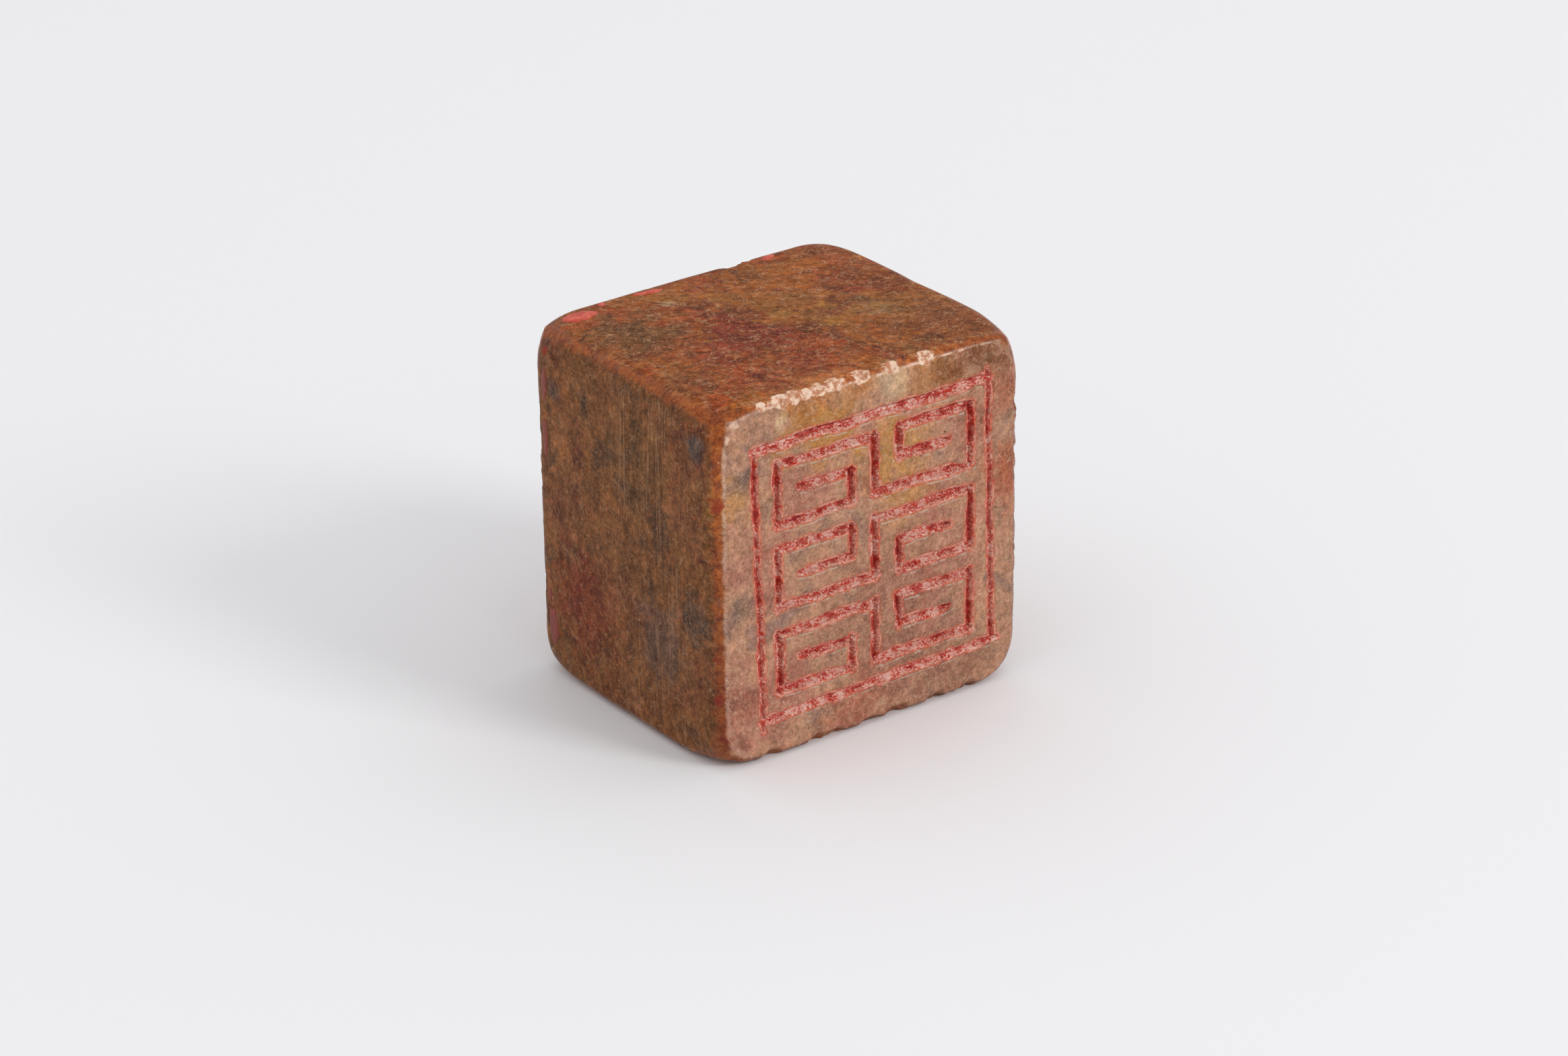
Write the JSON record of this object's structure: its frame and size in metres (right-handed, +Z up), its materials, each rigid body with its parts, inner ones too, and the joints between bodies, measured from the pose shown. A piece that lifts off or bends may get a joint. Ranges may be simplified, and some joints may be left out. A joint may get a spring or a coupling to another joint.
{
  "type": "seal stamp",
  "caption": "Hand-cut soapstone seal: a squat rounded block with a carved square frame and squared fretwork on one face, traces of dried red seal paste, chipped edges.",
  "frame": {"origin": "middle of the base that the seal stands on in the picture, on the standing surface", "axes": "+Z up as it stands, -Y out of the carved printing face, +X to the right seen from the front of the carved face"},
  "size_m": [0.0318, 0.0268, 0.032],
  "materials": {
    "soapstone": "satin",
    "seal_paste_in_cuts": "matte",
    "seal_paste_crust": "matte"
  },
  "bodies": {
    "root": {"stone_block": "soapstone", "paste_in_frame": "seal_paste_in_cuts", "paste_in_fret_row_1": "seal_paste_in_cuts", "paste_in_fret_row_2": "seal_paste_in_cuts", "paste_in_fret_row_3": "seal_paste_in_cuts", "paste_blob_top_corner": "seal_paste_crust", "paste_dot_top_edge": "seal_paste_crust", "paste_streak_top_edge": "seal_paste_crust", "paste_smear_top_notch": "seal_paste_crust", "paste_patch_upper": "seal_paste_crust", "paste_patch_middle": "seal_paste_crust", "paste_speck_lower": "seal_paste_crust", "paste_patch_lower": "seal_paste_crust"}
  },
  "joints": []
}
